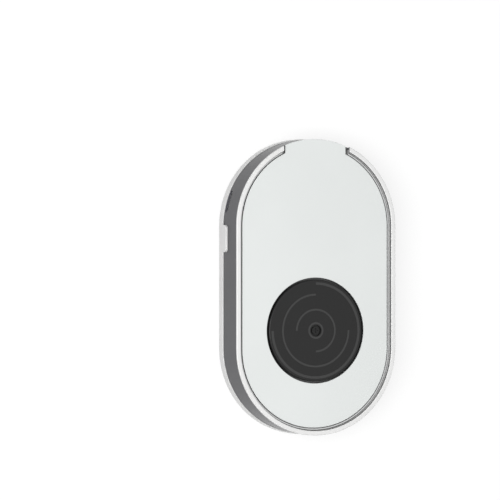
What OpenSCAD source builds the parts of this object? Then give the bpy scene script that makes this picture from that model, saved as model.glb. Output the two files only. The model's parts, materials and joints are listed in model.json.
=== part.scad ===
// Turntable device for a computer mouse. It lies on its feet, face up: X across the width,
// +Y towards the mouth of the raised rim, +Z out of the face, z = 0 under the feet.

/* [Case] */
// Length of the front outline, from round end to round end
front_l = 128; // [122:1:140]
// Width of the front outline, and the diameter of its round ends
front_w = 75; // [74:1:80]
// How far the base stands out round the front outline
ledge_w = 0.25; // [0.1:0.05:0.6]
// Thickness of the base's floor
base_t = 1.4; // [1.3:0.1:2]
// Height of the base's side wall
base_h = 4.5; // [4:0.1:5.5]
// Thickness of the base's side wall
base_wall_t = 2.4; // [2.2:0.1:2.8]
// Height from the base's ledge to the top of the raised rim
side_h = 15.4; // [15.3:0.1:18]
// Thickness of the side band's wall
band_t = 1.6; // [1.4:0.1:1.7]
// Thickness of the side band's upper lip, which stands outside the deck's flange
band_lip_t = 0.8; // [0.6:0.1:0.9]
// How far the side band lies back under the rim
band_inset = 0.2; // [0:0.05:0.4]
// Radius of the base's rounded edge at the ledge
ledge_edge_r = 0.2; // [0.1:0.05:0.3]
// Radius of the base's rounded lower edge
base_edge_r = 0.8; // [0.4:0.1:1.2]
// Thickness of the locating rib on the base
rib_t = 1.2; // [0.8:0.1:1.4]
// Height of the locating rib above the base's ledge
rib_h = 2.3; // [1.5:0.1:3]
// How far the locating rib goes down inside the base's side wall
rib_root = 1.2; // [0.8:0.1:2]
// Thickness of the skirt under the deck
skirt_t = 1.4; // [1:0.1:1.6]
// Height of the skirt under the deck
skirt_h = 3.8; // [2:0.1:4]
// Gap between casing pieces that slide into each other
fit_gap = 0.1; // [0.05:0.01:0.2]

/* [Rim and panel] */
// Width of the raised rim
rim_w = 2; // [1.8:0.1:2.6]
// Height of the raised rim above the panel
rim_h = 1.7; // [1.2:0.1:2.2]
// Thickness of the rim's cap over the side band
rim_cap_t = 0.7; // [0.5:0.1:1]
// Radius of the rim's rounded top edges
rim_edge_r = 0.4; // [0.2:0.05:0.6]
// Width of the rim's mouth, where the mouse's cord leaves
mouth_w = 31; // [20:0.1:36]
// Width of each gap beside the bead in the groove
groove_gap = 0.4; // [0.3:0.05:0.8]
// Width of the bead in the groove
bead_w = 0.5; // [0.4:0.05:1]
// How far the bead's top lies under the panel's top
bead_drop = 0.25; // [0.1:0.05:0.6]
// Thickness of the face panel
panel_t = 0.8; // [0.5:0.05:1.2]
// Radius of the panel's rounded top edge
panel_edge_r = 0.25; // [0.1:0.05:0.4]
// Gap between the panel's tongue and the rim's ends
tongue_gap = 1.3; // [0.1:0.1:1.6]
// Thickness of the adhesive sheet under the panel
adhesive_t = 0.15; // [0.1:0.05:0.3]
// How far the adhesive sheet lies in from the panel's edge
adhesive_inset = 0.6; // [0.3:0.1:1.5]
// Thickness of the deck under the panel
deck_t = 1.2; // [1:0.1:1.4]
// Thickness of the deck's outer flange
deck_flange_t = 0.6; // [0.4:0.1:0.8]

/* [Turntable] */
// Diameter of the turntable disc
disc_d = 43.9; // [40:0.1:46]
// Gap between the disc and the edge of its opening
disc_gap = 0.9; // [0.5:0.1:1.4]
// Distance of the disc's axis from the middle of the case, towards the closed end
disc_offset = 18.75; // [17:0.25:20]
// Thickness of the disc
disc_t = 2.1; // [1.8:0.1:2.4]
// How far the disc stands above the panel
disc_proud = 0.3; // [0:0.05:0.5]
// Radius of the disc's rounded top edge
disc_edge_r = 0.5; // [0.2:0.1:0.8]
// Thickness of the well's wall round the disc
well_wall_t = 1.2; // [0.8:0.1:1.5]
// Thickness of the well's floor under the disc
well_floor_t = 1; // [0.8:0.1:1.1]
// Radius of the outer track, at its middle
outer_track_r = 20.3; // [19:0.1:20.5]
// Radius of the middle track, at its middle
middle_track_r = 15.5; // [13:0.1:17]
// Radius of the inner track, at its middle
inner_track_r = 9; // [7:0.1:11]
// Width of the outer track
outer_track_w = 1.1; // [0.6:0.1:1.4]
// Width of the middle and inner tracks
inner_track_w = 0.8; // [0.5:0.1:1.4]
// How far each track runs round the disc, in degrees
track_angle = 270; // [180:15:330]
// Depth of the grooves that hold the tracks
track_depth = 0.3; // [0.2:0.05:0.5]
// How far the tracks stand above the disc
track_proud = 0.05; // [0:0.01:0.15]
// Radius of the recess in the middle of the disc
recess_r = 2.45; // [2.2:0.05:2.6]
// Depth of the recess in the middle of the disc
recess_depth = 1; // [0.8:0.1:1.1]
// Radius of the ring round the recess, at its middle
hub_ring_r = 3.2; // [3.1:0.05:3.6]
// Width of the ring round the recess
hub_ring_w = 0.8; // [0.4:0.1:0.9]

/* [Spindle] */
// Radius of the turntable's spindle
spindle_r = 1.5; // [1.3:0.1:1.7]
// Distance of the flat on the spindle's top from its axis
spindle_flat = 1.1; // [0.95:0.05:1.2]
// Outer radius of the spindle's bush
bush_r = 2.5; // [2.2:0.1:2.7]
// Length of the bush under its flange
bush_l = 2.7; // [2:0.1:2.7]
// Radius of the bush's flange
bush_flange_r = 3.4; // [3:0.1:3.8]
// Thickness of the bush's flange
bush_flange_t = 0.3; // [0.2:0.05:0.5]
// Outer radius of the well's boss round the bush
bush_boss_r = 3.8; // [3.4:0.1:4.2]
// Thickness of the washer between bush and disc
washer_t = 0.2; // [0.1:0.05:0.4]
// Radius of the base's boss under the spindle
spindle_boss_r = 3.2; // [2.6:0.1:4]
// Depth of the cup that holds the spindle's lower end
cup_depth = 1.5; // [1:0.1:2]
// Clearance of a shaft or pin that runs in a bore, on the radius
run_gap = 0.05; // [0.02:0.01:0.09]
// Clearance of a shaft or pin pressed into a bore, on the radius
press_gap = 0.02; // [0.01:0.01:0.03]
// Axial play of parts that turn
end_play = 0.1; // [0.05:0.05:0.2]

/* [Gears] */
// Module of all gears: pitch diameter divided by teeth
tooth_module = 0.5; // [0.48:0.01:0.5]
// Pressure angle of the teeth, in degrees
pressure_angle = 25; // [24:0.5:26]
// Teeth of the motor's pinion and of the idler's pinion
pinion_teeth = 12; // [12:1:12]
// Teeth of the idler's wheel
wheel_teeth = 36; // [34:1:37]
// Teeth of the turntable's gear
table_teeth = 48; // [46:1:50]
// Tooth height outside the pitch circle, in modules
addendum = 0.9; // [0.8:0.05:0.95]
// Tooth height inside the pitch circle, in modules
dedendum = 1.25; // [1.2:0.05:1.3]
// How much each tooth is thinned at the pitch circle
backlash = 0.08; // [0.05:0.01:0.12]
// Thickness of the turntable's gear
table_gear_t = 1.8; // [1.2:0.1:2]
// Thickness of the idler's wheel
wheel_t = 1.2; // [1:0.1:1.2]
// Length of the idler's pinion
idler_pinion_l = 2.4; // [2.3:0.1:2.8]
// Gap between the turntable's gear and the wheel above it
gear_gap = 0.4; // [0.3:0.1:0.5]
// Height of the small faces at the idler's two ends
hub_rise = 0.2; // [0.1:0.05:0.3]
// Radius of the idler's pin
idler_pin_r = 1; // [0.8:0.05:1.1]
// Radius of the bosses that hold the idler's pin
idler_boss_r = 2.4; // [2:0.1:2.8]
// How deep the idler's pin goes into the base's boss
pin_seat = 4; // [3:0.5:6]
// Height of the pin's boss under the well's floor
socket_h = 0.4; // [0.3:0.1:0.6]
// How far the idler's pin goes into the well's floor
socket_depth = 0.5; // [0.3:0.05:0.6]
// Radius of the hub on the turntable's gear
table_hub_r = 3.2; // [2.6:0.1:4]
// Direction from the turntable's axis to the idler's, in degrees from +X
idler_angle = 53; // [45:1:60]
// Direction from the idler's axis to the motor's, in degrees from +X
motor_angle = 74; // [68:1:80]

/* [Motor] */
// Diameter of the motor's can
motor_d = 15; // [14:0.5:16]
// Height of the motor's can
can_h = 9.5; // [8:0.1:9.8]
// Thickness of the can's wall
can_wall_t = 0.4; // [0.3:0.05:0.6]
// Thickness of the motor's mounting plate
motor_plate_t = 0.5; // [0.4:0.1:0.8]
// Gap between the mounting plate and the wheel above it
plate_gap = 0.5; // [0.4:0.1:0.6]
// Distance between the mounting plate's two screws
ear_pitch = 20; // [19.5:0.5:22]
// Radius of the mounting plate's ears
ear_r = 2.4; // [2.1:0.1:2.8]
// Radius of the motor's shaft
shaft_r = 0.75; // [0.6:0.05:0.9]
// Radius of the rotor magnet
rotor_r = 4.8; // [4:0.1:5]
// Gap between the rotor magnet and the stator
rotor_gap = 0.3; // [0.2:0.05:0.5]
// Width of the motor's terminal block
terminal_w = 6.4; // [5.6:0.2:7]
// Depth of the motor's terminal block outside the can
terminal_l = 2.8; // [2:0.2:4]
// Height of the motor's terminal block
terminal_h = 2.8; // [2:0.2:3]

/* [Wires] */
// Radius of one wire with its insulation
wire_r = 0.45; // [0.35:0.05:0.5]
// Distance between neighbouring wires
wire_pitch = 1.25; // [1.2:0.05:1.4]
// Radius of the innermost wire's bend
wire_bend_r = 3; // [2:0.5:5]
// Height of the wires above the circuit board
wire_rise = 1.4; // [1.2:0.1:1.6]
// Length of straight wire between the motor's terminal block and the bend
wire_run = 8; // [6:0.5:10]

/* [Circuit board] */
// Thickness of the circuit board
board_t = 0.8; // [0.8:0.1:1.2]
// Height of the circuit board above the base's ledge
board_rise = 1; // [0.8:0.1:1.2]
// Gap between the circuit board and the locating rib
board_gap = 0.9; // [0.6:0.1:1.2]
// Length of the board's slanted edge past the port's axis
board_shoulder = 8; // [7:0.5:9]
// Distance of the board's right edge from the middle of the case
board_right = 4; // [3:0.5:6]
// Distance from the switch's middle to the board's lower edge
board_below = 11.2; // [11:0.2:12]
// Radius of a board screw's shank
small_screw_r = 0.75; // [0.6:0.05:0.9]
// Radius of a small screw's head
small_head_r = 1.4; // [1.2:0.1:1.7]
// Height of a small screw's head
small_head_h = 0.9; // [0.7:0.1:1.1]
// Distance of the board screws from the board's edges
board_screw_in = 2.7; // [2.5:0.1:3.2]
// Diameter of the smoothing capacitor
capacitor_d = 6.3; // [5:0.1:6.6]
// Height of the smoothing capacitor above its base
capacitor_h = 4.6; // [4:0.1:5]
// Width of the connector on the board
header_w = 7.5; // [7:0.5:8.5]
// Length of the connector on the board
header_l = 5; // [4.5:0.5:6]
// Height of the connector on the board
header_h = 3.2; // [3:0.1:3.6]
// Gap between neighbouring parts on the board
part_gap = 0.8; // [0.5:0.1:0.9]

/* [Port and switch] */
// Direction of the port round the end's arc, in degrees from -X towards +Y
port_angle = 16.4; // [15:0.2:20]
// Width of the port's slot in the side band
port_w = 9.5; // [9.3:0.1:10.5]
// Gap above and below the socket in the port's slot
port_gap = 0.15; // [0.1:0.05:0.3]
// How far the socket's mouth lies inside the side band's face
port_recess = 0.9; // [0.6:0.1:1.2]
// Width of the socket's metal shell
socket_w = 8.94; // [8.9:0.02:9]
// Height of the socket's metal shell
socket_t = 3.16; // [3.1:0.02:3.2]
// Length of the socket's metal shell
socket_l = 7.35; // [7:0.05:7.6]
// Thickness of the socket's metal shell
shell_t = 0.3; // [0.2:0.05:0.35]
// Width of the socket's tongue
tongue_w = 6.7; // [6.5:0.1:6.9]
// Thickness of the socket's tongue
tongue_t = 0.7; // [0.6:0.05:0.8]
// How far the tongue's tip lies inside the socket's mouth
tongue_back = 0.6; // [0.4:0.1:1]
// Contacts on each side of the tongue
contact_count = 12; // [12:1:12]
// Distance of the switch knob's middle from the middle of the round end
knob_drop = 5.6; // [5:0.1:6.5]
// Length of the switch knob along the side
knob_l = 11.7; // [11.4:0.1:12.5]
// Height of the switch knob
knob_h = 4.8; // [4:0.1:5.5]
// How far the switch knob stands out of the base's side
knob_out = 0.6; // [0.3:0.1:1.2]
// Radius of the switch knob's rounded corners
knob_corner_r = 1.4; // [0.6:0.1:1.8]
// Radius of the switch knob's rounded edge
knob_edge_r = 0.5; // [0.2:0.1:0.8]
// Distance that the switch knob slides
knob_travel = 4; // [3:0.5:4]
// Width of the neck that carries the knob through the side band
neck_w = 5; // [4:0.5:5]
// Height of the neck that carries the knob
neck_h = 1.1; // [0.8:0.1:1.4]
// Clearance of the sliding knob and lever
slide_gap = 0.1; // [0.05:0.05:0.2]
// Thickness of the knob's fork behind the side band
fork_t = 1.2; // [1:0.1:1.2]
// Length of the slide switch's body
switch_l = 10; // [9.5:0.5:10]
// Width of the slide switch's body
switch_w = 3.8; // [3:0.1:4.5]
// Height of the slide switch's body
switch_h = 3.2; // [3:0.1:3.6]
// Width and height of the slide switch's lever
lever_w = 1.5; // [1.2:0.1:1.8]

/* [Feet and case screws] */
// How far the feet stand below the base
foot_proud = 0.5; // [0.4:0.1:1]
// Depth of the pockets that hold the feet
foot_pocket = 0.7; // [0.4:0.1:0.8]
// Radius of the feet
foot_r = 5; // [4:0.5:6]
// Distance of the case screws from the long axis
case_screw_x = 17; // [15:0.5:17]
// Distance of the case screws from the ends of the front outline
case_screw_in = 16; // [15:0.5:17]
// Radius of a case screw's shank
case_screw_r = 0.9; // [0.8:0.05:1.1]
// Length of a case screw's shank
case_screw_l = 7; // [6:0.5:8]
// Radius of a case screw's head
case_head_r = 1.9; // [1.7:0.1:2.1]
// Height of a case screw's head
case_head_h = 1.2; // [0.9:0.1:1.3]
// Radius of the posts that take the case screws
post_r = 3; // [2.4:0.1:3.4]

/* [Hidden] */
$fn = 96;
eps = 0.01;
spill = 1;

// Outline radii, all from the middle line of the stadium
arc_y = (front_l - front_w) / 2;
front_r = front_w / 2;
base_r = front_r + ledge_w;
base_in_r = base_r - base_wall_t;
band_r = front_r - band_inset;
band_in_r = band_r - band_t;
band_lip_r = band_r - band_lip_t;
deck_r = band_in_r - fit_gap;
deck_flange_r = band_lip_r - fit_gap;
rim_in_r = front_r - rim_w;
bead_out_r = rim_in_r - groove_gap;
bead_in_r = bead_out_r - bead_w;
panel_r = bead_in_r - groove_gap;
tongue_r = front_r - fit_gap;
rib_out_r = band_in_r - 2 * fit_gap;
rib_in_r = rib_out_r - rib_t;

// Heights of the casing
base_z = foot_proud;
floor_z = base_z + base_t;
ledge_z = base_z + base_h;
top_z = ledge_z + side_h;
cap_z = top_z - rim_cap_t;
panel_z = top_z - rim_h;
deck_z = panel_z - panel_t - adhesive_t;
shelf_z = deck_z - deck_flange_t;
deck_low = deck_z - deck_t;

// Turntable: heights are stacked down from the disc's top
disc_r = disc_d / 2;
well_r = disc_r + disc_gap;
well_out_r = well_r + well_wall_t;
disc_z = panel_z + disc_proud;
disc_low = disc_z - disc_t;
recess_z = disc_z - recess_depth;
web_t = 0.4;
spindle_z = recess_z - web_t;
flange_z = disc_low - washer_t;
well_z = flange_z - bush_flange_t;
well_low = well_z - well_floor_t;
bush_low = well_z - bush_l;
recess_screw_r = 1.7;
recess_screw_h = 0.7;
recess_screw_l = 3.2;

// Gear train: heights are stacked down from the well's floor
idler_top = well_low - socket_h - end_play;
wheel_z = idler_top - hub_rise;
wheel_low = wheel_z - wheel_t;
idler_pinion_low = wheel_low - idler_pinion_l;
idler_low = idler_pinion_low - hub_rise;
table_gear_z = wheel_low - gear_gap;
table_gear_low = table_gear_z - table_gear_t;
table_hub_z = bush_low - 2 * end_play;
spindle_boss_z = table_gear_low - 3 * end_play;
cup_z = spindle_boss_z - cup_depth;
idler_boss_z = idler_low - end_play;
pin_low = idler_boss_z - pin_seat;

pinion_r = tooth_module * pinion_teeth / 2;
wheel_r = tooth_module * wheel_teeth / 2;
table_gear_r = tooth_module * table_teeth / 2;
spindle_y = -disc_offset;
idler_x = (table_gear_r + pinion_r) * cos(idler_angle);
idler_y = spindle_y + (table_gear_r + pinion_r) * sin(idler_angle);
motor_x = idler_x + (wheel_r + pinion_r) * cos(motor_angle);
motor_y = idler_y + (wheel_r + pinion_r) * sin(motor_angle);

// Motor: heights are stacked down from the wheel
motor_r = motor_d / 2;
plate_z = wheel_low - plate_gap;
plate_low = plate_z - motor_plate_t;
can_low = plate_low - can_h;
plate_ring_r = 1.6;
plate_ring_h = 0.2;
motor_pinion_low = plate_z + plate_ring_h + end_play;
motor_pinion_z = wheel_z + hub_rise;
shaft_z = motor_pinion_z + hub_rise;
ear_angles = [motor_angle + 90, motor_angle - 90];
motor_screw_l = 4;

// Circuit board
board_z = ledge_z + board_rise;
board_top = board_z + board_t;
board_r = rib_in_r - board_gap;
knob_y = arc_y - knob_drop;
switch_y = knob_y + knob_travel / 2;
board_low_y = switch_y - board_below;
board_bend_y = arc_y + board_r * tan(port_angle / 2);
board_corner = [
    -board_r * cos(port_angle) + board_shoulder * sin(port_angle),
    arc_y + board_r * sin(port_angle) + board_shoulder * cos(port_angle)
];
board_screws_at = [
    [-board_r + board_screw_in + 0.6, board_low_y + board_screw_in],
    [-board_right - board_screw_in, board_low_y + board_screw_in],
    [-board_right - board_screw_in, board_corner[1] - board_screw_in]
];
board_screw_l = board_t + board_rise + 0.7;

// Port, in the port's own axes: x outwards along the radius, y along the wall
port_z = ledge_z + port_gap + socket_t / 2;
socket_mouth = band_r - port_recess;
socket_back = socket_mouth - socket_l;
tongue_root = 1.6;
leg_in = 0.6;
leg_pitch = 2.8;
leg_w = 1.1;
leg_l = 1;

// Switch
knob_z = ledge_z + slide_gap;
knob_in_x = band_r + slide_gap;
knob_out_x = base_r + knob_out;
fork_in_x = board_r + board_gap - slide_gap;
fork_out_x = fork_in_x + fork_t;
lever_z = board_top + switch_h / 2 - lever_w / 2;
fork_z = lever_z + lever_w + slide_gap;
switch_front = board_r - 0.8;
switch_back = switch_front - switch_w;
lever_tip = fork_out_x - 0.5;
lever_root = switch_front - 0.9;

// Wires: the motor's block faces +Y, the plug faces +X
wire_count = 4;
wire_z = board_top + wire_rise;
terminal_y = motor_y + motor_r + terminal_l;
wire_first_x = motor_x - (wire_count - 1) / 2 * wire_pitch;
bend_x = wire_first_x - wire_bend_r;
bend_y = terminal_y + wire_run;
plug_y = bend_y + wire_bend_r + (wire_count - 1) / 2 * wire_pitch;
plug_h = 2.4;
plug_w = header_w - 1.6;
header_x = -board_right - 0.4;
plug_in = header_l - 1.4;
plug_out = 2.6;
plug_x = header_x + plug_out;

// Parts on the board, each placed from its neighbour or from the board's edge
driver_size = [3.9, 9.9, 1.5];
controller_size = [3.9, 4.9, 1.5];
lead_pitch = 1.27;
lead_w = 0.42;
lead_l = 1;
lead_t = 0.2;
lead_rise = 0.8;
capacitor_base_h = 0.8;
capacitor_base_w = capacitor_d + 0.3;
capacitor_at = [
    board_screws_at[0][0] + small_head_r + part_gap + capacitor_base_w / 2,
    board_low_y + part_gap + capacitor_base_w / 2
];
chip_x = (capacitor_at[0] + capacitor_base_w / 2 + header_x - header_l) / 2;
driver_at = [chip_x, board_low_y + 2 * part_gap + driver_size[1] / 2];
controller_at = [chip_x, board_corner[1] - 2 * part_gap - controller_size[1] / 2];
passive_size = [1.6, 0.8, 0.6];
passive_pitch = passive_size[1] + 1.5 * part_gap;
passive_count = 5;
passive_columns = [
    [capacitor_at[0] + passive_size[1], capacitor_at[1] + capacitor_base_w / 2 + passive_pitch],
    [chip_x, driver_at[1] + driver_size[1] / 2 + passive_pitch]
];

// Case screws and feet
case_y = front_l / 2 - case_screw_in;
pocket_z = base_z + foot_pocket;
head_z = pocket_z + case_head_h + 0.2;
case_boss_z = head_z + 1.4;
case_boss_r = case_head_r + 1.5;
post_low = case_boss_z + fit_gap;
pocket_gap = 0.1;
shank_gap = 0.2;
bore_gap = 0.05;

// ---- Outline tools ----

// The stadium outline with end radius r
module stadium(r) {
    square([2 * r, 2 * arc_y], center = true);
    for (side = [-1, 1]) translate([0, side * arc_y]) circle(r);
}

// A flat plate with the stadium's outline, from height low to height high
module plate(r, low, high) {
    translate([0, 0, low]) linear_extrude(high - low) stadium(r);
}

// Carries a radial profile (x out from the middle line, y up) once round the stadium
module round_the_case() {
    for (turn = [0, 180]) rotate([0, 0, turn]) {
        translate([0, arc_y, 0]) rotate_extrude(angle = 180) children();
        rotate([90, 0, 0]) linear_extrude(2 * arc_y, center = true) children();
    }
}

// The sharp tip that a corner of radius r loses; the solid lies towards dx, dy from it
module corner(x, y, dx, dy, r) {
    over = 0.1;
    difference() {
        translate([x + dx * (r - over) / 2, y + dy * (r - over) / 2])
            square(r + over, center = true);
        translate([x + dx * r, y + dy * r]) circle(r);
    }
}

// The same tip in flat steps, for an edge that the mouth's flat ends cross
module eased_tip(x, y, dx, dy, r) {
    over = 0.1;
    steps = 4;
    polygon([
        [x - dx * over, y - dy * over],
        [x + dx * r, y - dy * over],
        for (i = [0 : steps])
            [x + dx * r * (1 - sin(90 * i / steps)), y + dy * r * (1 - cos(90 * i / steps))],
        [x - dx * over, y + dy * r]
    ]);
}

// A profile or outline laid along X from x = start, its own x along Y and its y up
module along_x(start, length) {
    translate([start, 0, 0]) rotate([90, 0, 90]) linear_extrude(length) children();
}

// A profile laid along Y from y = start, its own x along X and its y up
module along_y(start, length) {
    translate([0, start + length, 0]) rotate([90, 0, 0]) linear_extrude(length) children();
}

// A round bar from height low to height high
module bar(r, low, high) {
    translate([0, 0, low]) cylinder(h = high - low, r = r);
}

// A box from corner a to corner b
module block(a, b) {
    translate(a) cube(b - a);
}

// The open mouth of the rim, from height low upwards, narrower by gap on each side
module mouth(low, gap = 0) {
    w = mouth_w / 2 - gap;
    block([-w, 0, low], [w, front_l, top_z + spill]);
}

// A screw whose head sits on height z, with the shank below it and a cross recess
module screw(z, head_r, head_h, shank_r, shank_l) {
    difference() {
        union() {
            bar(head_r, z, z + head_h);
            bar(shank_r, z - shank_l, z + head_h / 2);
        }
        for (turn = [0, 90]) rotate([0, 0, turn])
            translate([0, 0, z + head_h]) cube([1.3 * head_r, 0.24 * head_r, head_h], center = true);
    }
}

// ---- Places ----

module at_spindle() {
    translate([0, spindle_y, 0]) children();
}

module at_idler() {
    translate([idler_x, idler_y, 0]) children();
}

module at_motor() {
    translate([motor_x, motor_y, 0]) children();
}

module at_motor_ears() {
    for (turn = ear_angles)
        at_motor() rotate([0, 0, turn]) translate([ear_pitch / 2, 0, 0]) children();
}

module at_board_screws() {
    for (at = board_screws_at) translate([at[0], at[1], 0]) children();
}

module at_case_screws() {
    for (sx = [-1, 1], sy = [-1, 1])
        translate([sx * case_screw_x, sy * case_y, 0]) children();
}

module at_port() {
    translate([0, arc_y, 0]) rotate([0, 0, 180 - port_angle]) children();
}

// ---- Casing ----

module base_profile() {
    difference() {
        translate([0, base_z]) square([base_r, base_h]);
        translate([-eps, floor_z]) square([base_in_r + eps, base_h]);
        corner(base_r, ledge_z, -1, -1, ledge_edge_r);
        corner(base_r, base_z, -1, 1, base_edge_r);
    }
}

module base_shell() color("gainsboro") {
    difference() {
        union() {
            round_the_case() base_profile();
            difference() {
                plate(rib_out_r, ledge_z - rib_root, ledge_z + rib_h);
                plate(rib_in_r, ledge_z - rib_root - spill, ledge_z + rib_h + spill);
                rib_break();
            }
            at_spindle() bar(spindle_boss_r, floor_z - eps, spindle_boss_z);
            at_idler() bar(idler_boss_r, floor_z - eps, idler_boss_z);
            at_motor_ears() bar(ear_r - fit_gap, floor_z - eps, plate_low);
            at_board_screws() bar(small_head_r + 0.8, floor_z - eps, board_z);
            at_case_screws() bar(case_boss_r, floor_z - eps, case_boss_z);
        }
        at_spindle() bar(spindle_r + run_gap, cup_z, spindle_boss_z + spill);
        at_idler() bar(idler_pin_r + press_gap, pin_low, idler_boss_z + spill);
        at_motor_ears() bar(small_screw_r + bore_gap, plate_low - motor_screw_l, plate_low + spill);
        at_board_screws()
            bar(small_screw_r + bore_gap, board_top - board_screw_l - bore_gap, board_z + spill);
        at_case_screws() {
            bar(foot_r + pocket_gap, base_z - spill, pocket_z);
            bar(case_head_r + shank_gap, base_z, head_z);
            bar(case_screw_r + shank_gap, base_z, case_boss_z + spill);
        }
    }
}

// The stretch of the rib that is left out behind the switch and the port
module rib_break() {
    low = knob_y - neck_w / 2 - 1;
    reach = board_shoulder + slide_gap;
    at_port() block([0, -reach, base_z], [base_r, reach, top_z]);
    block([-base_r, low, base_z], [-rib_in_r + 2, arc_y + port_w / 2, top_z]);
}

module side_band() color("dimgray") {
    difference() {
        round_the_case() polygon([
            [band_in_r, ledge_z], [band_r, ledge_z], [band_r, cap_z],
            [band_lip_r, cap_z], [band_lip_r, shelf_z], [band_in_r, shelf_z]
        ]);
        mouth(deck_z);
        port_slot();
        neck_slot();
    }
}

// The port's slot is open at the bottom, so the band goes on over the socket
module port_slot() {
    high = port_z + socket_t / 2 + port_gap;
    at_port() along_x(band_in_r - 2 * spill, band_t + 4 * spill) difference() {
        translate([-port_w / 2, ledge_z - spill]) square([port_w, high - ledge_z + spill]);
        for (side = [-1, 1]) corner(side * port_w / 2, high, -side, -1, socket_t / 2);
    }
}

module neck_slot() {
    low = knob_y - neck_w / 2 - slide_gap;
    high = knob_y + knob_travel + neck_w / 2 + slide_gap;
    block([-band_r - spill, low, ledge_z - spill],
        [-band_in_r + spill, high, knob_z + neck_h + slide_gap]);
}

module raised_rim() color("white") {
    difference() {
        round_the_case() difference() {
            polygon([
                [rim_in_r, deck_z], [deck_flange_r, deck_z], [deck_flange_r, cap_z],
                [front_r, cap_z], [front_r, top_z], [rim_in_r, top_z]
            ]);
            eased_tip(front_r, top_z, -1, -1, rim_edge_r);
            eased_tip(rim_in_r, top_z, 1, -1, rim_edge_r);
        }
        mouth(deck_z - spill);
    }
}

module top_shell() color("whitesmoke") {
    difference() {
        union() {
            plate(deck_r, deck_low, shelf_z + eps);
            plate(deck_flange_r, shelf_z, deck_z);
            difference() {
                plate(bead_out_r, deck_z - eps, panel_z - bead_drop);
                plate(bead_in_r, deck_z - spill, panel_z);
                mouth(deck_z - eps);
            }
            difference() {
                plate(deck_r, deck_low - skirt_h, deck_low + eps);
                plate(deck_r - skirt_t, deck_low - skirt_h - spill, deck_low + spill);
            }
            at_spindle() bar(well_out_r, well_low, deck_z);
            at_spindle() bar(bush_boss_r, bush_low, well_low + eps);
            at_idler() bar(idler_boss_r, well_low - socket_h, well_low + eps);
            at_case_screws() bar(post_r, post_low, deck_low + eps);
        }
        at_spindle() bar(well_r, well_z, deck_z + spill);
        at_spindle() bar(bush_r + press_gap, bush_low - spill, well_z + spill);
        at_idler() bar(idler_pin_r + press_gap, well_low - socket_h - spill, well_low + socket_depth);
        at_case_screws()
            bar(case_screw_r + bore_gap, post_low - spill, head_z + case_screw_l + bore_gap);
    }
}

module panel_plate(r) {
    round_the_case() difference() {
        translate([0, panel_z - panel_t]) square([r, panel_t]);
        eased_tip(r, panel_z, -1, -1, panel_edge_r);
    }
}

module face_panel() color("gainsboro") {
    difference() {
        union() {
            panel_plate(panel_r);
            intersection() {
                panel_plate(tongue_r);
                mouth(panel_z - panel_t - spill, tongue_gap);
            }
        }
        at_spindle() bar(well_r, panel_z - panel_t - spill, panel_z + spill);
        at_spindle() translate([0, 0, panel_z - panel_edge_r])
            cylinder(h = 2 * panel_edge_r, r1 = well_r - panel_edge_r / 4, r2 = well_r + panel_edge_r);
    }
}

module panel_adhesive() color("khaki") {
    difference() {
        plate(panel_r - adhesive_inset, deck_z, deck_z + adhesive_t);
        at_spindle() bar(well_out_r, deck_z - spill, panel_z);
    }
}

// ---- Turntable ----

// One ring or arc laid in the disc's top, wider by gap on each side
module track(r, w, start, angle, low, high, gap) {
    rotate([0, 0, start]) rotate_extrude(angle = angle)
        translate([r - w / 2 - gap, low]) square([w + 2 * gap, high - low]);
}

// The three arcs each leave out another quarter of the disc; a full ring goes round the hub
module all_tracks(high, gap) {
    low = disc_z - track_depth;
    at_spindle() {
        track(outer_track_r, outer_track_w, 180, track_angle, low, high, gap);
        track(middle_track_r, inner_track_w, 90, track_angle, low, high, gap);
        track(inner_track_r, inner_track_w, 270, track_angle, low, high, gap);
        track(hub_ring_r, hub_ring_w, 0, 360, low, high, gap);
    }
}

// The spindle's section where the disc sits on it: round with one flat
module flatted(r, flat) {
    difference() {
        circle(r);
        translate([flat, -r]) square(2 * r);
    }
}

module turntable_disc() color("dimgray") {
    difference() {
        at_spindle() rotate_extrude() difference() {
            translate([0, disc_low]) square([disc_r, disc_t]);
            corner(disc_r, disc_z, -1, -1, disc_edge_r);
            corner(disc_r, disc_low, -1, 1, disc_edge_r / 2);
        }
        all_tracks(disc_z + spill, press_gap);
        at_spindle() {
            bar(recess_r, recess_z, disc_z + spill);
            bar(recess_screw_r / 2 + bore_gap, disc_low - spill, disc_z);
            translate([0, 0, disc_low - spill]) linear_extrude(spindle_z - disc_low + spill)
                flatted(spindle_r + press_gap, spindle_flat + press_gap);
        }
    }
}

module disc_tracks() color("gray") {
    all_tracks(disc_z + track_proud, 0);
}

module disc_screw() color("black") {
    at_spindle()
        screw(recess_z, recess_screw_r, recess_screw_h, recess_screw_r / 2, recess_screw_l);
}

module turntable_spindle() color("silver") {
    at_spindle() difference() {
        bar(spindle_r, cup_z + run_gap, spindle_z - press_gap);
        difference() {
            bar(2 * spindle_r, disc_low, spindle_z + spill);
            translate([0, 0, disc_low - spill]) linear_extrude(spindle_z - disc_low + 3 * spill)
                flatted(spindle_r + spill, spindle_flat);
        }
        bar(recess_screw_r / 2 + press_gap, recess_z - recess_screw_l - bore_gap, spindle_z + spill);
    }
}

module spindle_bush() color("darkgoldenrod") {
    at_spindle() difference() {
        union() {
            bar(bush_r, bush_low, well_z + eps);
            bar(bush_flange_r, well_z, flange_z);
        }
        bar(spindle_r + run_gap, bush_low - spill, flange_z + spill);
    }
}

module spindle_washer() color("ivory") {
    at_spindle() difference() {
        bar(bush_flange_r - fit_gap, flange_z, disc_low);
        bar(spindle_r + run_gap, flange_z - spill, disc_low + spill);
    }
}

// ---- Gear train ----

// The involute function of an angle, in degrees
function involute(angle) = tan(angle) * 180 / PI - angle;

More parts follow.
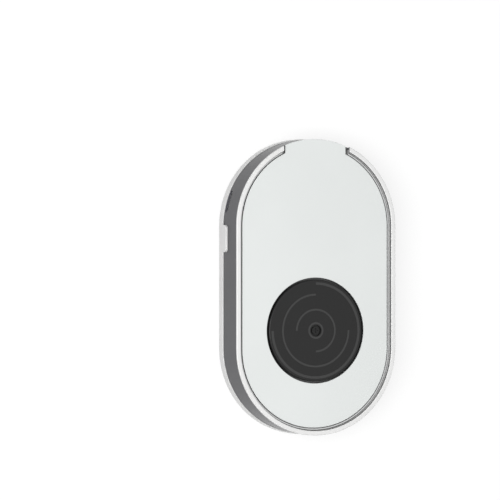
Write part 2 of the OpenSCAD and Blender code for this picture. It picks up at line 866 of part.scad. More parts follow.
// Half the angle that one tooth fills at radius r, on a gear with this many teeth
function half_tooth(r, teeth) =
    let (pitch_r = tooth_module * teeth / 2, base_circle = pitch_r * cos(pressure_angle))
    90 / teeth - backlash / (2 * pitch_r) * 180 / PI
    + involute(pressure_angle) - involute(acos(min(1, base_circle / r)));

// Outline of a spur gear with tooth 0 on the X axis
function gear_points(teeth) =
    let (
        pitch_r = tooth_module * teeth / 2,
        base_circle = pitch_r * cos(pressure_angle),
        tip = pitch_r + addendum * tooth_module,
        root = pitch_r - dedendum * tooth_module,
        foot = max(base_circle, root),
        steps = 4,
        radii = [root, for (i = [0 : steps]) foot + (tip - foot) * i / steps]
    )
    [
        for (tooth = [0 : teeth - 1], side = [-1, 1], i = [0 : steps + 1])
            let (
                r = radii[side < 0 ? i : steps + 1 - i],
                angle = 360 * tooth / teeth + side * half_tooth(max(r, foot), teeth)
            )
            r * [cos(angle), sin(angle)]
    ];

// A spur gear from height low to height high, turned by turn degrees
module gear(teeth, low, high, turn) {
    rotate([0, 0, turn]) translate([0, 0, low]) linear_extrude(high - low) polygon(gear_points(teeth));
}

module turntable_gear() color("ivory") {
    at_spindle() difference() {
        union() {
            gear(table_teeth, table_gear_low, table_gear_z, idler_angle);
            bar(table_hub_r, table_gear_low, table_hub_z);
        }
        bar(spindle_r + press_gap, table_gear_low - spill, table_hub_z + spill);
        for (turn = [0 : 60 : 300]) rotate([0, 0, turn]) translate([(table_gear_r + table_hub_r) / 2, 0, 0])
            bar(table_gear_r / 5, table_gear_low - spill, table_gear_z + spill);
    }
}

module idler_gear() color("ivory") {
    at_idler() difference() {
        union() {
            gear(pinion_teeth, idler_pinion_low, wheel_low + eps, idler_angle + 180 + 180 / pinion_teeth);
            gear(wheel_teeth, wheel_low, wheel_z, motor_angle);
            bar(idler_boss_r - fit_gap, idler_low, idler_pinion_low + eps);
            bar(idler_boss_r - fit_gap, wheel_z - eps, idler_top);
        }
        bar(idler_pin_r + run_gap, idler_low - spill, idler_top + spill);
    }
}

module idler_pin() color("silver") {
    at_idler() bar(idler_pin_r, pin_low, well_low + socket_depth - run_gap);
}

// ---- Motor ----

module motor_can() color("silver") {
    at_motor() difference() {
        bar(motor_r, can_low, plate_low);
        bar(motor_r - can_wall_t, can_low + can_wall_t, plate_low + spill);
    }
}

module motor_plate_outline() {
    circle(motor_r);
    square([ear_pitch, 2 * ear_r], center = true);
    for (side = [-1, 1]) translate([side * ear_pitch / 2, 0]) circle(ear_r);
}

module motor_plate() color("lightgray") {
    difference() {
        union() {
            at_motor() rotate([0, 0, ear_angles[0]]) translate([0, 0, plate_low])
                linear_extrude(motor_plate_t) motor_plate_outline();
            at_motor() bar(plate_ring_r, plate_low, plate_z + plate_ring_h);
        }
        at_motor() bar(shaft_r + run_gap, plate_low - spill, plate_z + spill);
        at_motor_ears() bar(small_screw_r + shank_gap, plate_low - spill, plate_z + spill);
    }
}

module motor_stator() color("peru") {
    at_motor() difference() {
        bar(motor_r - can_wall_t, can_low + can_wall_t, plate_low);
        bar(rotor_r + rotor_gap, can_low, plate_low + spill);
    }
}

module motor_rotor() color("darkslategray") {
    at_motor() difference() {
        bar(rotor_r, can_low + 2 * can_wall_t, plate_low - can_wall_t);
        bar(shaft_r + press_gap, can_low, plate_low);
    }
}

module motor_shaft() color("silver") {
    at_motor() bar(shaft_r, can_low + can_wall_t + run_gap, shaft_z);
}

module motor_pinion() color("goldenrod") {
    at_motor() difference() {
        gear(pinion_teeth, motor_pinion_low, motor_pinion_z, motor_angle + 180 + 180 / pinion_teeth);
        bar(shaft_r + press_gap, motor_pinion_low - spill, motor_pinion_z + spill);
    }
}

module motor_terminal() color("white") {
    at_motor() difference() {
        block([-terminal_w / 2, motor_r - 1, wire_z - terminal_h / 2],
            [terminal_w / 2, motor_r + terminal_l, wire_z + terminal_h / 2]);
        bar(motor_r + press_gap, can_low - spill, top_z);
    }
}

module motor_screws() color("silver") {
    at_motor_ears() screw(plate_z, small_head_r, small_head_h, small_screw_r, motor_screw_l);
}

// ---- Wires ----

module motor_wires() color("crimson") {
    for (i = [0 : wire_count - 1]) {
        r = wire_bend_r + i * wire_pitch;
        translate([bend_x + r, 0, wire_z]) along_y(terminal_y, wire_run) circle(wire_r, $fn = 24);
        translate([bend_x, bend_y, wire_z]) rotate_extrude(angle = 90)
            translate([r, 0]) circle(wire_r, $fn = 24);
        translate([0, bend_y + r, wire_z]) along_x(plug_x, bend_x - plug_x) circle(wire_r, $fn = 24);
    }
}

module wire_plug() color("ivory") {
    block([plug_x - plug_in - 2, plug_y - plug_w / 2, wire_z - plug_h / 2],
        [plug_x, plug_y + plug_w / 2, wire_z + plug_h / 2]);
}

module board_header() color("ivory") {
    difference() {
        block([header_x - header_l, plug_y - header_w / 2, board_top],
            [header_x, plug_y + header_w / 2, board_top + header_h]);
        block([plug_x - plug_in - 2, plug_y - plug_w / 2 - bore_gap, wire_z - plug_h / 2 - bore_gap],
            [header_x + spill, plug_y + plug_w / 2 + bore_gap, wire_z + plug_h / 2 + bore_gap]);
    }
}

// ---- Circuit board ----

module circuit_board() color("seagreen") {
    difference() {
        translate([0, 0, board_z]) linear_extrude(board_t) polygon([
            [-board_r, board_low_y], [-board_r, board_bend_y], board_corner,
            [-board_right, board_corner[1]], [-board_right, board_low_y]
        ]);
        at_port() block([socket_back - bore_gap, -socket_w / 2 - port_gap, board_z - spill],
            [base_r, socket_w / 2 + port_gap, board_top + spill]);
        at_board_screws() bar(small_screw_r + shank_gap, board_z - spill, board_top + spill);
    }
}

module board_screws() color("silver") {
    at_board_screws() screw(board_top, small_head_r, small_head_h, small_screw_r, board_screw_l);
}

// Gull-wing leads down both long sides of a chip, standing on the board
module leads(at, size, count) {
    for (side = [0, 180], i = [0 : count - 1])
        translate([at[0], at[1], board_top]) rotate([0, 0, side])
            translate([size[0] / 2, (i - (count - 1) / 2) * lead_pitch, 0]) {
                block([0, -lead_w / 2, lead_rise - lead_t], [lead_l / 2, lead_w / 2, lead_rise]);
                block([lead_l / 2 - lead_t, -lead_w / 2, 0], [lead_l / 2, lead_w / 2, lead_rise]);
                block([lead_l / 2 - lead_t, -lead_w / 2, 0], [lead_l, lead_w / 2, lead_t]);
            }
}

// A chip's body, held just clear of the board by its leads
module chip(at, size) {
    translate([at[0], at[1], board_top + bore_gap + size[2] / 2]) cube(size, center = true);
}

module controller_chip() color("black") {
    chip(controller_at, controller_size);
}

module driver_chip() color("black") {
    chip(driver_at, driver_size);
}

module chip_leads() color("silver") {
    leads(controller_at, controller_size, 4);
    leads(driver_at, driver_size, 8);
}

module capacitor_base() color("black") {
    translate([capacitor_at[0], capacitor_at[1], board_top + capacitor_base_h / 2])
        cube([capacitor_base_w, capacitor_base_w, capacitor_base_h], center = true);
}

module capacitor_can() color("silver") {
    translate([capacitor_at[0], capacitor_at[1], board_top + capacitor_base_h]) rotate_extrude()
        difference() {
            square([capacitor_d / 2, capacitor_h]);
            corner(capacitor_d / 2, capacitor_h, -1, -1, 0.4);
            translate([capacitor_d / 2 + 0.2, 0.9]) circle(0.5, $fn = 24);
        }
}

module board_passives() color("tan") {
    for (at = passive_columns, i = [0 : passive_count - 1])
        translate([at[0], at[1] + i * passive_pitch, board_top + passive_size[2] / 2])
            cube(passive_size, center = true);
}

// ---- Port ----

// The socket's rounded section, with its middle at the port's height
module socket_section(w, h) {
    translate([0, port_z]) {
        square([w - h, h], center = true);
        for (side = [-1, 1]) translate([side * (w - h) / 2, 0]) circle(h / 2);
    }
}

module usb_shell() color("silver") {
    at_port() {
        difference() {
            along_x(socket_back, socket_l) socket_section(socket_w, socket_t);
            along_x(socket_back - spill, socket_l + 2 * spill)
                socket_section(socket_w - 2 * shell_t, socket_t - 2 * shell_t);
        }
        for (side = [0, 1], x = [leg_in, leg_in + leg_pitch]) mirror([0, side, 0])
            block([socket_back + x, socket_w / 2 - shell_t / 2, board_top],
                [socket_back + x + leg_w, socket_w / 2 + leg_l, board_top + shell_t]);
    }
}

module usb_tongue() color("black") {
    at_port() {
        along_x(socket_back, tongue_root)
            socket_section(socket_w - 2 * shell_t - bore_gap, socket_t - 2 * shell_t - bore_gap);
        block([socket_back, -tongue_w / 2, port_z - tongue_t / 2],
            [socket_mouth - tongue_back, tongue_w / 2, port_z + tongue_t / 2]);
    }
}

module usb_contacts() color("gold") {
    pitch = 0.5;
    contact_w = 0.25;
    contact_t = 0.06;
    at_port() for (side = [0, 1], i = [0 : contact_count - 1]) {
        y = (i - (contact_count - 1) / 2) * pitch;
        z = side > 0 ? port_z + tongue_t / 2 : port_z - tongue_t / 2 - contact_t;
        block([socket_back + tongue_root, y - contact_w / 2, z],
            [socket_mouth - 2 * tongue_back, y + contact_w / 2, z + contact_t]);
    }
}

// ---- Switch ----

module slide_switch_body() color("silver") {
    difference() {
        block([-switch_front, switch_y - switch_l / 2, board_top],
            [-switch_back, switch_y + switch_l / 2, board_top + switch_h]);
        block([-switch_front - spill, knob_y - lever_w / 2 - slide_gap, lever_z - slide_gap],
            [-lever_root + slide_gap, knob_y + knob_travel + lever_w / 2 + slide_gap,
                lever_z + lever_w + slide_gap]);
    }
}

module switch_lever() color("black") {
    block([-lever_tip, knob_y - lever_w / 2, lever_z],
        [-lever_root, knob_y + lever_w / 2, lever_z + lever_w]);
}

// The knob outside the side band, its neck through the slot and its fork round the lever
module switch_knob() color("white") {
    translate([0, knob_y, 0]) {
        intersection() {
            along_x(-knob_out_x, knob_out_x - knob_in_x) difference() {
                translate([-knob_l / 2, knob_z]) square([knob_l, knob_h]);
                for (side = [-1, 1]) corner(side * knob_l / 2, knob_z + knob_h, -side, -1, knob_corner_r);
            }
            along_y(-knob_l / 2, knob_l) difference() {
                translate([-knob_out_x, knob_z]) square([knob_out_x, knob_h]);
                corner(-knob_out_x, knob_z + knob_h, 1, -1, knob_edge_r);
                corner(-knob_out_x, knob_z, 1, 1, knob_edge_r / 2);
            }
        }
        block([-knob_in_x - eps, -neck_w / 2, knob_z], [-fork_in_x, neck_w / 2, knob_z + neck_h]);
        difference() {
            block([-fork_out_x, -neck_w / 2, knob_z], [-fork_in_x, neck_w / 2, fork_z]);
            block([-fork_out_x - spill, -lever_w / 2 - slide_gap, lever_z - slide_gap],
                [-fork_in_x + spill, lever_w / 2 + slide_gap, fork_z + spill]);
        }
    }
}

// ---- Feet and case screws ----

module case_screws() color("silver") {
    at_case_screws() translate([0, 0, head_z]) mirror([0, 0, 1])
        screw(0, case_head_r, case_head_h, case_screw_r, case_screw_l);
}

module rubber_feet() color("darkslategray") {
    at_case_screws() rotate_extrude() difference() {
        square([foot_r, pocket_z]);
        corner(foot_r, 0, -1, 1, foot_proud / 2);
    }
}

base_shell();
side_band();
top_shell();
raised_rim();
face_panel();
panel_adhesive();
turntable_disc();
disc_tracks();
disc_screw();
turntable_spindle();
turntable_gear();
spindle_bush();
spindle_washer();
idler_gear();
idler_pin();
motor_can();
motor_plate();
motor_stator();
motor_rotor();
motor_shaft();
motor_pinion();
motor_terminal();
motor_screws();
motor_wires();
wire_plug();
board_header();
circuit_board();
board_screws();
usb_shell();
usb_tongue();
usb_contacts();
slide_switch_body();
switch_lever();
switch_knob();
controller_chip();
driver_chip();
chip_leads();
capacitor_can();
capacitor_base();
board_passives();
case_screws();
rubber_feet();
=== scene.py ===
"""Looks for the turntable that keeps a computer mouse moving: finishes, lamps, floor and camera."""

import json
import math

import bmesh
import bpy
from mathutils import Matrix, Vector


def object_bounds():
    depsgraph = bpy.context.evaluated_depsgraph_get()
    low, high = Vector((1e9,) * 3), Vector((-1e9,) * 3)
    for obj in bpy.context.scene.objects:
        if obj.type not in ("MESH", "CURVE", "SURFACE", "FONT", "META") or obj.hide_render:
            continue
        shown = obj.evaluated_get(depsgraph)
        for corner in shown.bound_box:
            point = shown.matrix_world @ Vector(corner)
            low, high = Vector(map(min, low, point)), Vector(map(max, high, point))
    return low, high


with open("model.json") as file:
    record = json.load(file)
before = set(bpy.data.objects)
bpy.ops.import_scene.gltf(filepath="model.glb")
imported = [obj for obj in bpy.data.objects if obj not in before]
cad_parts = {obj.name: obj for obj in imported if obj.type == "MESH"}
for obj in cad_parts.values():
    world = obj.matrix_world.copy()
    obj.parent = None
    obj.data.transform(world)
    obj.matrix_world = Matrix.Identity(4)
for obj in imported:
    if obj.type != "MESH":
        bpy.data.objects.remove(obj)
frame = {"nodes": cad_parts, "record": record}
cad_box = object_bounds()
MM = 0.001

# Places on the object, in millimetres. SPINDLE and MOTOR are lines along Z, at x and y.
SPINDLE = (0.0, -18.75)
MOTOR = (12.3349, 4.7646)
# The straight sides end at ARC_Y. BAND_R and RIM_IN_R are measured from the case's middle line.
ARC_Y = 26.5
BAND_R, RIM_IN_R, WELL_R = 37.3, 35.5, 22.85
LEDGE_Z, DECK_Z, BEAD_Z, PANEL_Z, TOP_Z = 5.0, 17.75, 18.45, 18.7, 20.4
# The rim's square ends stand at MOUTH_X, and nothing else of the rim lies beyond MOUTH_Y there
MOUTH_X, MOUTH_Y = 15.5, 30
# The painted shade line inside the rim starts at RIM_LINE_Z and stops RIM_EDGE below the top
RIM_LINE_Z, RIM_EDGE = 19.0, 0.25
PANEL_BEVEL = 0.18
WELL_DEPTH = 4
# Distances from the spindle: where the disc's polished edge begins and is full, and where the
# rubbed part of the panel begins to fade and is gone
DISC_EDGE = (21.3, 21.75)
RUBBED = (26, 36)
# Heights between which the circuit board's bare mask gives way to its tracks
TRACKS_Z = (6.75, 6.77)
# How far a mask reaches past the faces that it covers
HAIR, SLIVER, MARGIN = 0.02, 0.05, 0.1
# How far the floor lies under the feet, so that no two faces share a plane
FLOOR_GAP = 0.05

WHITE = (1.0, 1.0, 1.0)
PHOTO_PX = 500
SENSOR = 36


# ---- Shader tools ----


class Shade:
    """One output socket that takes part in sums: each operator adds its Math node."""

    def __init__(self, finish, socket):
        self.finish, self.socket = finish, socket

    def sum(self, operation, *values):
        return self.finish.node("ShaderNodeMath", {"operation": operation}, dict(enumerate(values)))

    def __add__(self, other):
        return self.sum("ADD", self, other)

    def __sub__(self, other):
        return self.sum("SUBTRACT", self, other)

    def __rsub__(self, other):
        return self.sum("SUBTRACT", other, self)

    def __mul__(self, other):
        return self.sum("MULTIPLY", self, other)

    def __truediv__(self, other):
        return self.sum("DIVIDE", self, other)

    def __rtruediv__(self, other):
        return self.sum("DIVIDE", other, self)

    def __pow__(self, other):
        return self.sum("POWER", self, other)

    def __rpow__(self, other):
        return self.sum("POWER", other, self)

    def __gt__(self, other):
        return self.sum("GREATER_THAN", self, other)

    def __lt__(self, other):
        return self.sum("LESS_THAN", self, other)

    def __abs__(self):
        return self.sum("ABSOLUTE", self)

    __radd__ = __add__
    __rmul__ = __mul__

    def repeat(self, period):
        """Distance from the nearest middle of a band that returns every period, from 0 to 0.5."""
        return self.sum("PINGPONG", self / period, 0.5)

    def between(self, low, high):
        """0 at low, 1 at high and a smooth step between them. Low may be the larger number."""
        settings = {"interpolation_type": "SMOOTHSTEP"}
        return self.finish.node("ShaderNodeMapRange", settings, {0: self, 1: low, 2: high})


class Finish:
    """The nodes of one material, or of the room's light. node() adds every node but the sums."""

    def __init__(self, owner):
        """owner is a new material's name, or the world that holds the room's light."""
        self.owner = bpy.data.materials.new(owner) if isinstance(owner, str) else owner
        self.owner.use_nodes = True
        self.tree = self.owner.node_tree
        self.tree.nodes.clear()
        self.here = self.node("ShaderNodeTexCoord", output="Object")

    def node(self, kind, settings=None, inputs=None, output=0):
        """Add a node: first its settings, then the values or links of its sockets."""
        made = self.tree.nodes.new(kind)
        for key, value in (settings or {}).items():
            setattr(made, key, value)
        for key, value in (inputs or {}).items():
            socket = made.inputs[key]
            if isinstance(value, Shade):
                self.tree.links.new(value.socket, socket)
            elif socket.type == "RGBA":
                socket.default_value = (*value, 1.0)
            else:
                socket.default_value = value
        if made.outputs:
            return Shade(self, made.outputs[output])

    def axis(self, name):
        """One of the object's own coordinates, in metres."""
        return self.node("ShaderNodeSeparateXYZ", None, {0: self.here}, output=name)

    def from_axis(self, x, y):
        """Distance in metres from a line along Z at x, y in millimetres."""
        dx, dy = self.axis("X") - x * MM, self.axis("Y") - y * MM
        return (dx * dx + dy * dy) ** 0.5

    def from_spine(self):
        """Distance in metres from the case's middle line, so the case's outline is at one value."""
        x, past = self.axis("X"), abs(self.axis("Y")) - ARC_Y * MM
        past = past.sum("MAXIMUM", past, 0.0)
        return (x * x + past * past) ** 0.5

    def level(self, low, high):
        """1 between two heights in millimetres, 0 elsewhere."""
        z = self.axis("Z")
        return (z > low * MM) * (z < high * MM)

    def seen(self):
        """1 for the rays that show a surface to the eye, in gloss or through glass."""
        rays = [self.node("ShaderNodeLightPath", output=f"Is {ray} Ray")
                for ray in ("Camera", "Glossy", "Transmission")]
        return rays[0] + rays[1] + rays[2]

    def stretched(self, x, y, z):
        """The object's coordinates, multiplied along each axis."""
        settings = {"operation": "MULTIPLY"}
        return self.node("ShaderNodeVectorMath", settings, {0: self.here, 1: (x, y, z)})

    def grain(self, size, detail=2.0, vector=None):
        """Noise from 0 to 1 whose lumps are about size millimetres."""
        inputs = {"Vector": vector or self.here, "Scale": 1 / (size * MM), "Detail": detail}
        return self.node("ShaderNodeTexNoise", None, inputs)

    def cells(self, size, output="Distance"):
        """Voronoi cells of about size millimetres."""
        inputs = {"Vector": self.here, "Scale": 1 / (size * MM)}
        return self.node("ShaderNodeTexVoronoi", None, inputs, output=output)

    def tint(self, factor, first, second):
        """A colour that goes from first to second with factor."""
        inputs = {0: factor, 6: first, 7: second}
        return self.node("ShaderNodeMix", {"data_type": "RGBA"}, inputs, output=2)

    def relief(self, height, depth):
        """A Bump node: height from 0 to 1 stands for depth in millimetres."""
        inputs = {"Height": height, "Distance": depth * MM, "Strength": 1.0}
        return self.node("ShaderNodeBump", None, inputs)

    def polish(self, colour, roughness):
        """Polished moulded plastic: its colour, its roughness and faint waves from the mould."""
        waves, haze, fine = self.grain(2.6, 1.0), self.grain(14, 3.0), self.grain(0.12, 2.0)
        shade = self.tint(haze.between(0.35, 0.7), colour, darker(colour, 0.965))
        rough = roughness + haze * 0.06 + fine * 0.03
        return shade, rough, self.relief(waves * 0.8 + fine * 0.2, 0.0035)

    def skin(self, colour, roughness, normal, **constants):
        """The Principled surface and the material's output."""
        inputs = {"Base Color": colour, "Roughness": roughness, "Normal": normal}
        inputs.update({key.replace("_", " "): value for key, value in constants.items()})
        surface = self.node("ShaderNodeBsdfPrincipled", None, inputs)
        self.node("ShaderNodeOutputMaterial", None, {"Surface": surface})
        return self.owner


def darker(colour, share):
    return tuple(c * share for c in colour)


# ---- Finishes of the casing and the turntable ----


def white_moulding(name, colour):
    """Polished white plastic, with shade painted on as darker colour in the groove, on the rim's
    ends, in the port's slot and in the disc's well.
    """
    f = Finish(name)
    shade, rough, waves = f.polish(colour, 0.2)
    out = f.from_spine()
    # Painted shade: the bead at the foot of the rim is tinted mid gray.
    bead_shade = (out < (RIM_IN_R - SLIVER) * MM) * f.level(DECK_Z + HAIR, BEAD_Z + SLIVER)
    # Painted shade: the deck at the bottom of the groove is tinted near black.
    deck_shade = f.level(DECK_Z - HAIR, DECK_Z + HAIR)
    # Painted shade: a dark band on the rim's inner wall, just below its top edge.
    inner_wall_shade = (out < (RIM_IN_R + 2 * HAIR) * MM) * f.level(RIM_LINE_Z, TOP_Z - RIM_EDGE)
    in_mouth = (abs(f.axis("X")) < (MOUTH_X + HAIR) * MM) * (f.axis("Y") > MOUTH_Y * MM)
    # Painted shade: the rim's square ends in the mouth are tinted gray.
    rim_end_shade = in_mouth * f.level(DECK_Z, TOP_Z + 1)
    # Painted shade: the ledge's top under the band, seen in the port's slot, is tinted near black
    # with a little blue.
    slot_floor_shade = (out < (BAND_R - MARGIN) * MM) * f.level(LEDGE_Z - MARGIN, LEDGE_Z + MARGIN)
    # Painted shade: the walls and floor of the disc's well are tinted almost black.
    in_well = f.from_axis(*SPINDLE) < (WELL_R + MARGIN) * MM
    well_shade = in_well * f.level(DECK_Z - WELL_DEPTH, DECK_Z - HAIR)
    # Each mask below tints the white plastic darker: painted shade, not a colour of the plastic.
    for place, tone in ((bead_shade, (0.56, 0.565, 0.565)), (deck_shade, (0.10, 0.10, 0.10)),
                        (inner_wall_shade, (0.13, 0.132, 0.132)), (rim_end_shade, (0.45, 0.455, 0.455)),
                        (slot_floor_shade, (0.10, 0.10, 0.115)), (well_shade, (0.03, 0.03, 0.03))):
        shade = f.tint(place, shade, tone)
    return f.skin(shade, rough, waves)


def gray_moulding(name, colour):
    """The band between base and face: the same polished plastic in gray, with little gloss."""
    f = Finish(name)
    return f.skin(*f.polish(colour, 0.18), Specular_IOR_Level=0.06)


def satin_plate(name, colour):
    """The face plate: finely etched, a little smoother where the mouse has rubbed, with painted
    shade on its side wall and a painted highlight on its bevel.
    """
    f = Finish(name)
    etch, cloud = f.grain(0.09, 3.0), f.grain(30, 2.0)
    flecks = f.cells(0.4).between(0.06, 0.02)
    shade = f.tint(cloud.between(0.3, 0.7), colour, darker(colour, 0.98))
    shade = f.tint(flecks * 0.10, shade, darker(colour, 0.8))
    # Painted shade: the plate's side wall, from the deck up to the bevel, is tinted near black.
    edge_shade = f.level(DECK_Z, PANEL_Z - PANEL_BEVEL)
    # Painted highlight: the bevel is tinted paler than the plate, and it is also made smoother.
    highlit_bevel = f.level(PANEL_Z - PANEL_BEVEL, PANEL_Z - HAIR)
    shade = f.tint(edge_shade, shade, (0.05, 0.05, 0.05))
    shade = f.tint(highlit_bevel, shade, (0.90, 0.92, 0.915))
    rubbed = 1 - f.from_axis(*SPINDLE).between(*(r * MM for r in RUBBED))
    rough = 0.37 + etch * 0.06 + cloud * 0.03 - rubbed * 0.03 - highlit_bevel * 0.2
    return f.skin(shade, rough, f.relief(etch, 0.003))


def disc_plastic(name, colour):
    """The disc: moulded with a fine turned grain, and a smooth polished edge."""
    f = Finish(name)
    out = f.from_axis(*SPINDLE)
    edge = out.between(*(r * MM for r in DISC_EDGE))
    turned = out.repeat(0.16 * MM) * 2
    pits = f.grain(0.1, 3.0)
    dust = f.grain(0.7, 4.0).between(0.62, 0.8)
    shade = f.tint(dust * 0.10, colour, (0.16, 0.16, 0.155))
    flat = 1 - edge
    rough = 0.44 + pits * 0.12 * flat - edge * 0.26
    return f.skin(shade, rough, f.relief((turned * 0.35 + pits * 0.65) * flat, 0.0045),
                  Specular_IOR_Level=0.2)


def inlay(name, colour):
    """The tracks on the disc: a soft matte inlay."""
    f = Finish(name)
    pits = f.grain(0.14, 3.0)
    shade = f.tint(f.grain(1.5, 3.0), colour, darker(colour, 0.86))
    return f.skin(shade, 0.5 + pits * 0.12, f.relief(pits, 0.006), Specular_IOR_Level=0.25)


def soft_rubber(name, colour):
    """The feet: stippled rubber with a little dust in it."""
    f = Finish(name)
    stipple = f.cells(0.22)
    dust = f.grain(1.2, 4.0).between(0.5, 0.85)
    shade = f.tint(dust * 0.25, colour, (0.22, 0.21, 0.20))
    return f.skin(shade, 0.72 + dust * 0.1, f.relief(stipple, 0.02))


def clear_adhesive(name, colour):
    """The sheet under the panel: cloudy, with small trapped bubbles."""
    f = Finish(name)
    bubbles = f.cells(2.2).between(0.12, 0.05)
    shade = f.tint(bubbles * 0.5 + f.grain(5, 2.0) * 0.2, colour, (0.86, 0.84, 0.78))
    return f.skin(shade, 0.34 + bubbles * 0.2, f.relief(bubbles, 0.01))


# ---- Finishes of the works ----


def ground_metal(name, colour, roughness, along="Z", turned_at=None):
    """Ground or drawn metal: fine lines along one axis, or rings round an axis of its own."""
    f = Finish(name)
    if turned_at:
        run = f.node("ShaderNodeCombineXYZ", None, {0: f.from_axis(*turned_at), 1: f.axis("Z")})
    else:
        run = f.stretched(*(0.03 if a == along else 1 for a in "XYZ"))
    lines = f.grain(0.05, 2.0, vector=run)
    stain = f.grain(2.5, 3.0)
    shade = f.tint(lines * 0.4 + stain * 0.4, colour, darker(colour, 0.8))
    rough = roughness + lines * 0.10 + stain * 0.06
    return f.skin(shade, rough, f.relief(lines, 0.004), Metallic=1.0)


def bright_plating(name, colour):
    """Tin, zinc or gold plating: bright, with faint spangles."""
    f = Finish(name)
    tone = f.node("ShaderNodeSeparateColor", None, {0: f.cells(0.5, output="Color")})
    shade = f.tint(tone * 0.5, colour, darker(colour, 0.82))
    rough = 0.2 + tone * 0.12 + f.grain(0.1) * 0.05
    return f.skin(shade, rough, f.relief(f.grain(0.3, 3.0), 0.003), Metallic=1.0)


def blackened_steel(name, colour):
    """The centre screw: black oxide, a little paler where it has worn."""
    f = Finish(name)
    worn = f.grain(0.25, 4.0).between(0.6, 0.75)
    shade = f.tint(worn * 0.15, colour, (0.10, 0.10, 0.095))
    return f.skin(shade, 0.34 + f.grain(0.12) * 0.15, f.relief(f.grain(0.1, 3.0), 0.003),
                  Metallic=0.4, Specular_IOR_Level=0.3)


def oiled_bronze(name, colour):
    """The bush: pressed bronze powder, dark oil in its pores."""
    f = Finish(name)
    pores = f.cells(0.13).between(0.45, 0.2)
    shade = f.tint(pores * 0.6, colour, darker(colour, 0.35))
    return f.skin(shade, 0.36 + pores * 0.2, f.relief(1 - pores, 0.006), Metallic=1.0)


def wound_copper(name, colour, x, y):
    """The stator: layer on layer of enamelled wire, wound round the motor's axis."""
    f = Finish(name)
    wire_d = 0.22 * MM
    across = (f.from_axis(x, y) + f.axis("Z")).repeat(wire_d)
    down = (f.from_axis(x, y) - f.axis("Z")).repeat(wire_d)
    wire = (across + down).between(0.15, 0.75)
    shade = f.tint(wire, darker(colour, 0.3), colour)
    return f.skin(shade, 0.3 + f.grain(0.4) * 0.1, f.relief(wire, 0.04), Metallic=0.85)


def ferrite(name, colour):
    """The rotor's magnet: dark sintered grain."""
    f = Finish(name)
    crumbs = f.cells(0.1)
    shade = f.tint(crumbs, darker(colour, 0.6), darker(colour, 1.5))
    return f.skin(shade, 0.5 + f.grain(0.3) * 0.2, f.relief(crumbs, 0.008), Metallic=0.3)


def soft_moulding(name, colour, roughness=0.42):
    """Unpolished engineering plastic: gears, plugs and washers."""
    f = Finish(name)
    flow = f.grain(3.5, 2.0)
    pits = f.grain(0.16, 3.0)
    shade = f.tint(flow.between(0.3, 0.75), colour, darker(colour, 0.93))
    return f.skin(shade, roughness + pits * 0.12, f.relief(pits * 0.6 + flow * 0.4, 0.008),
                  Subsurface_Weight=0.08, Subsurface_Scale=0.0008)


def wire_cover(name, colour):
    """The motor's wires: smooth soft insulation, slightly dulled."""
    f = Finish(name)
    dull = f.grain(1.6, 3.0)
    shade = f.tint(dull * 0.5, colour, darker(colour, 0.7))
    return f.skin(shade, 0.36 + dull * 0.15, f.relief(f.grain(0.3, 2.0), 0.004))


def solder_mask(name, colour):
    """The circuit board: mask over copper tracks, with plated holes between them."""
    f = Finish(name)
    x, y = f.axis("X"), f.axis("Y")
    region = f.node("ShaderNodeSeparateColor", None, {0: f.cells(5.5, output="Color")})
    slanted = (x + y) * 0.7071
    track_pitch = 0.64 * MM
    lines = [abs(d.repeat(track_pitch) - 0.25).between(0.10, 0.06) for d in (x, y, slanted)]
    upright, sloping = region < 0.4, region > 0.75
    lying = 1 - upright - sloping
    tracks = lines[0] * upright + lines[1] * lying + lines[2] * sloping
    holes = f.cells(2.6).between(0.16, 0.12)
    shade = f.tint(tracks * 0.65, colour, (0.06, 0.30, 0.14))
    above = f.axis("Z").between(*(z * MM for z in TRACKS_Z))
    shade = f.tint(above, (0.02, 0.12, 0.06), shade)
    shade = f.tint(holes, shade, (0.62, 0.60, 0.52))
    return f.skin(shade, 0.28 + f.grain(0.8, 3.0) * 0.1 + tracks * 0.05,
                  f.relief(tracks * 0.8 + f.grain(0.15) * 0.2, 0.012))


def moulding_compound(name, colour):
    """The chips: black resin, its tiny filler grains showing."""
    f = Finish(name)
    filler = f.cells(0.12)
    shade = f.tint(filler.between(0.5, 0.1) * 0.35, colour, (0.07, 0.07, 0.07))
    return f.skin(shade, 0.52 + filler * 0.15, f.relief(filler, 0.006))


def chip_part(name, colour):
    """Chip parts: a fired body, faintly speckled."""
    f = Finish(name)
    speck = f.grain(0.12, 2.0)
    shade = f.tint(speck, colour, darker(colour, 0.75))
    return f.skin(shade, 0.4 + speck * 0.2, f.relief(speck, 0.004))


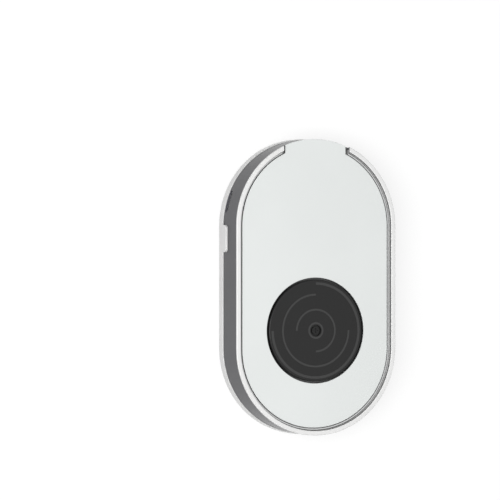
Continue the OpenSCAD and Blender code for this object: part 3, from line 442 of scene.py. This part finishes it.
finishes = {
    "gloss_white": white_moulding("gloss_white_moulding", (0.80, 0.80, 0.795)),
    "gloss_gray": gray_moulding("gloss_gray_band", (0.135, 0.135, 0.141)),
    "satin_panel": satin_plate("satin_face_plate", (0.765, 0.79, 0.78)),
    "disc_gray": disc_plastic("turned_gray_disc", (0.012, 0.012, 0.012)),
    "track_gray": inlay("track_inlay", (0.042, 0.042, 0.042)),
    "black_steel": blackened_steel("black_centre_screw", (0.008, 0.008, 0.008)),
    "bright_steel": ground_metal("ground_steel_shaft", (0.62, 0.62, 0.62), 0.16),
    "zinc_steel": bright_plating("zinc_plated_screw", (0.66, 0.67, 0.66)),
    "motor_steel": ground_metal("drawn_motor_steel", (0.58, 0.58, 0.57), 0.24, turned_at=MOTOR),
    "tin_plate": bright_plating("tin_plate", (0.75, 0.75, 0.76)),
    "oiled_bronze": oiled_bronze("oiled_bronze_bush", (0.52, 0.36, 0.18)),
    "pinion_brass": ground_metal("cut_brass_pinion", (0.78, 0.60, 0.28), 0.24, turned_at=MOTOR),
    "contact_gold": bright_plating("gold_contact", (0.85, 0.65, 0.30)),
    "copper_wire": wound_copper("wound_copper", (0.72, 0.36, 0.20), *MOTOR),
    "acetal": soft_moulding("acetal_gear", (0.80, 0.78, 0.70), 0.34),
    "nylon": soft_moulding("nylon_washer", (0.82, 0.80, 0.74)),
    "magnet": ferrite("ferrite_rotor", (0.08, 0.08, 0.09)),
    "adhesive": clear_adhesive("clear_adhesive", (0.70, 0.66, 0.55)),
    "board_green": solder_mask("solder_mask", (0.03, 0.20, 0.10)),
    "connector_ivory": soft_moulding("ivory_connector", (0.80, 0.77, 0.66)),
    "chip_black": moulding_compound("chip_resin", (0.03, 0.03, 0.03)),
    "socket_black": soft_moulding("black_socket_core", (0.02, 0.02, 0.02)),
    "wire_cover": wire_cover("red_wire_cover", (0.55, 0.04, 0.04)),
    "capacitor_metal": ground_metal("capacitor_can_metal", (0.75, 0.76, 0.77), 0.22, along="X"),
    "ceramic_chip": chip_part("fired_chip_part", (0.45, 0.33, 0.20)),
    "foot_rubber": soft_rubber("foot_rubber", (0.05, 0.05, 0.05)),
}

for entry in frame["record"]["subparts"]:
    for slot in frame["nodes"][entry["node"]].material_slots:
        slot.material = finishes[entry["material_slot"]]


# ---- Floor, lamps and camera ----


def lay_floor(side, tone, glow_strength, glow_share):
    """A pale floor just under the feet: white to the eye, and it keeps the object's shadow."""
    slab = bmesh.new()
    under_feet = Matrix.Translation((0, 0, -FLOOR_GAP * MM))
    bmesh.ops.create_grid(slab, x_segments=8, y_segments=8, size=side / 2, matrix=under_feet)
    mesh = bpy.data.meshes.new("floor")
    slab.to_mesh(mesh)
    slab.free()
    floor = bpy.data.objects.new("floor", mesh)
    bpy.context.scene.collection.objects.link(floor)
    f = Finish("pale_floor")
    matte = f.node("ShaderNodeBsdfDiffuse", None, {"Color": (tone, tone, tone)})
    glow = f.node("ShaderNodeEmission", None, {"Color": WHITE, "Strength": glow_strength})
    mixed = f.node("ShaderNodeMixShader", None, {0: f.seen() * glow_share, 1: matte, 2: glow})
    f.node("ShaderNodeOutputMaterial", None, {"Surface": mixed})
    mesh.materials.append(f.owner)


def hang_lamp(name, place, side, watts):
    """A soft square lamp, its place and side in metres, aimed at the object."""
    lamp = bpy.data.lights.new(name, "AREA")
    lamp.size = side
    lamp.energy = watts
    holder = bpy.data.objects.new(name, lamp)
    holder.location = place
    middle = Vector((0, 0, 0.01))
    holder.rotation_euler = (middle - Vector(place)).to_track_quat("-Z", "Y").to_euler()
    bpy.context.scene.collection.objects.link(holder)


def light_room(strength):
    """An even pale room, which the eye, gloss and glass meet as white."""
    room = bpy.data.worlds.new("pale_room")
    f = Finish(room)
    light = f.seen() * (1 - strength) + strength
    background = f.node("ShaderNodeBackground", None, {"Color": WHITE, "Strength": light})
    f.node("ShaderNodeOutputWorld", None, {"Surface": background})
    bpy.context.scene.world = room


def set_camera(yaw, distance, right, up, height, focal_px):
    """The photograph's view: from the -X side by yaw degrees, with +Y upwards in the picture."""
    turn = math.radians(yaw)
    side = Vector((math.cos(turn), 0, math.sin(turn)))
    top = Vector((0, 1, 0))
    back = Vector((-math.sin(turn), 0, math.cos(turn)))
    camera = bpy.data.objects.new("camera", bpy.data.cameras.new("camera"))
    place = back * distance - side * right - top * up + Vector((0, 0, height))
    facing = Matrix((side, top, back)).transposed().to_4x4()
    camera.matrix_world = Matrix.Translation(place * MM) @ facing
    camera.data.sensor_width = SENSOR
    camera.data.lens = focal_px / PHOTO_PX * SENSOR
    camera.data.clip_start, camera.data.clip_end = 0.05, 20
    bpy.context.scene.collection.objects.link(camera)
    bpy.context.scene.camera = camera


lay_floor(side=4.0, tone=0.62, glow_strength=1.45, glow_share=0.5)
light_room(strength=0.26)
hang_lamp("key", place=(-0.7, -0.05, 0.95), side=0.6, watts=7.8)
hang_lamp("overhead", place=(0.0, -0.05, 1.3), side=1.0, watts=6.0)
set_camera(yaw=22.84, distance=1150, right=28.95, up=-16.0, height=cad_box[1][2] / MM, focal_px=2668)

bpy.context.scene.view_settings.view_transform = "Standard"
